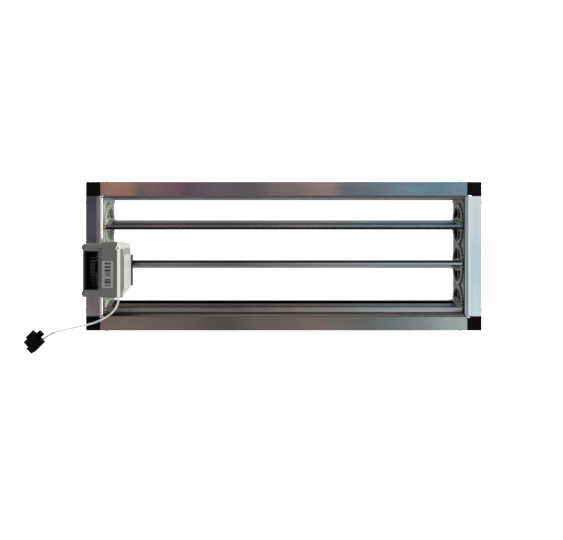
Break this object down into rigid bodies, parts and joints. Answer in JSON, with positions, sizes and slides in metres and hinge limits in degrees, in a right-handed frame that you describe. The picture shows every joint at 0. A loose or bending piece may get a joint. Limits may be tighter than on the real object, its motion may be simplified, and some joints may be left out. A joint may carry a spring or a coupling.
{
  "type": "volume control damper",
  "caption": "Aluminium air duct damper with opposed airfoil blades geared together and a clip-on electric actuator whose gear turns the middle blade, with its cable and plug.",
  "frame": {"origin": "centre of the rear face, which the damper lies on", "axes": "+X along the blades, away from the actuator; +Y across the blades; +Z along the air path, from the rear face to the front flange that carries the actuator"},
  "size_m": [1.1399, 0.4351, 0.2262],
  "materials": {
    "black_plastic": "moulded",
    "blade_aluminium": "mill extruded",
    "bush_plastic": "moulded",
    "cable_white": "smooth",
    "case_grey": "cast and painted",
    "cheek_plastic": "moulded",
    "core_black": "smooth",
    "core_red": "smooth",
    "cover_grey": "moulded",
    "drive_plastic": "moulded",
    "frame_aluminium": "mill extruded",
    "gear_plastic": "moulded",
    "label_foil": "printed foil",
    "motor_steel": "drawn can",
    "plate_dark": "painted",
    "plug_black": "moulded",
    "screw_steel": "zinc plated",
    "seal_rubber": "matt",
    "shaft_steel": "turned",
    "yoke_grey": "cast and painted"
  },
  "bodies": {
    "frame": {"bush_bottom_left": "bush_plastic", "bush_bottom_right": "bush_plastic", "bush_middle_left": "bush_plastic", "bush_middle_right": "bush_plastic", "bush_top_left": "bush_plastic", "bush_top_right": "bush_plastic", "cable_core_black": "core_black", "cable_core_red": "core_red", "cable_jacket": "cable_white", "cheek_left": "cheek_plastic", "cheek_right": "cheek_plastic", "corner_bottom_left": "black_plastic", "corner_bottom_right": "black_plastic", "corner_top_left": "black_plastic", "corner_top_right": "black_plastic", "cover": "cover_grey", "cover_screw": "screw_steel", "cover_strip": "seal_rubber", "end_bolts": "screw_steel", "end_plate": "plate_dark", "filler_strip": "frame_aluminium", "foot_bracket": "screw_steel", "foot_screw": "screw_steel", "frame_screws": "screw_steel", "gear_carrier": "drive_plastic", "gear_yoke": "yoke_grey", "gearbox": "drive_plastic", "grommet": "seal_rubber", "housing": "case_grey", "label": "label_foil", "motor": "motor_steel", "plug_body": "plug_black", "plug_latch": "plug_black", "profile_bottom": "frame_aluminium", "profile_left": "frame_aluminium", "profile_right": "frame_aluminium", "profile_top": "frame_aluminium"},
    "blade_top": {"blade_top": "blade_aluminium", "gear_top_left": "gear_plastic", "gear_top_right": "gear_plastic", "seal_top_front": "seal_rubber", "seal_top_rear": "seal_rubber"},
    "blade_middle": {"blade_middle": "blade_aluminium", "gear_middle_left": "gear_plastic", "gear_middle_right": "gear_plastic", "seal_middle_front": "seal_rubber", "seal_middle_rear": "seal_rubber"},
    "blade_bottom": {"blade_bottom": "blade_aluminium", "gear_bottom_left": "gear_plastic", "gear_bottom_right": "gear_plastic", "seal_bottom_front": "seal_rubber", "seal_bottom_rear": "seal_rubber"},
    "drive": {"drive_gear": "drive_plastic", "output_shaft": "shaft_steel"}
  },
  "joints": [
    {"name": "blade_middle_turn", "type": "hinge", "parent": "frame", "child": "blade_middle", "pos_m": [0, -0.0234, 0.0625], "axis": [1, 0, 0], "range_deg": [-86.7, 3.3]},
    {"name": "blade_top_turn", "type": "hinge", "parent": "frame", "child": "blade_top", "pos_m": [0, 0.0766, 0.0625], "axis": [1, 0, 0], "range_deg": [-3.3, 86.7]},
    {"name": "blade_bottom_turn", "type": "hinge", "parent": "frame", "child": "blade_bottom", "pos_m": [0, -0.1234, 0.0625], "axis": [1, 0, 0], "range_deg": [-3.3, 86.7]},
    {"name": "drive_turn", "type": "hinge", "parent": "frame", "child": "drive", "pos_m": [-0.437, -0.0234, 0.1625], "axis": [1, 0, 0], "range_deg": [-3.3, 86.7]}
  ],
  "couplings": [
    {"joint": "blade_top_turn", "follows": "blade_middle_turn", "ratio": -1},
    {"joint": "blade_bottom_turn", "follows": "blade_middle_turn", "ratio": -1},
    {"joint": "drive_turn", "follows": "blade_middle_turn", "ratio": -1}
  ]
}
